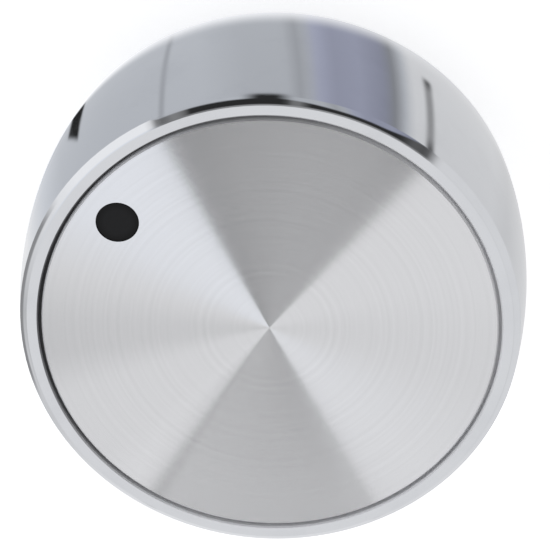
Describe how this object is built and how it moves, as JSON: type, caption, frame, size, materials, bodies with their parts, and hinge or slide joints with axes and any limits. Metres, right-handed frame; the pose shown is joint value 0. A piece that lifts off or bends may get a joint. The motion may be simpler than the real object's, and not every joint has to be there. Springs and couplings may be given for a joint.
{
  "type": "timer knob",
  "caption": "Round push-on timer knob: plated body with a gently crowned wall, spun aluminium face let in flush, black index dot, and a D-shaped spindle socket with a leaf spring.",
  "frame": {"origin": "centre of the back rim's plane, on the spindle axis", "axes": "+Z along the spindle axis and out through the face, +Y from the axis towards the index dot"},
  "size_m": [0.0454, 0.0454, 0.0193],
  "materials": {
    "bright_plating": "bright plating on a moulding, polished",
    "spun_aluminium": "spun, fine rings about the centre",
    "black_fill": "matt black paint fill",
    "spring_steel": "bright rolled strip"
  },
  "bodies": {
    "root": {"knob_body": "bright_plating", "face_disc": "spun_aluminium", "index_dot": "black_fill", "shaft_spring": "spring_steel"}
  },
  "joints": []
}
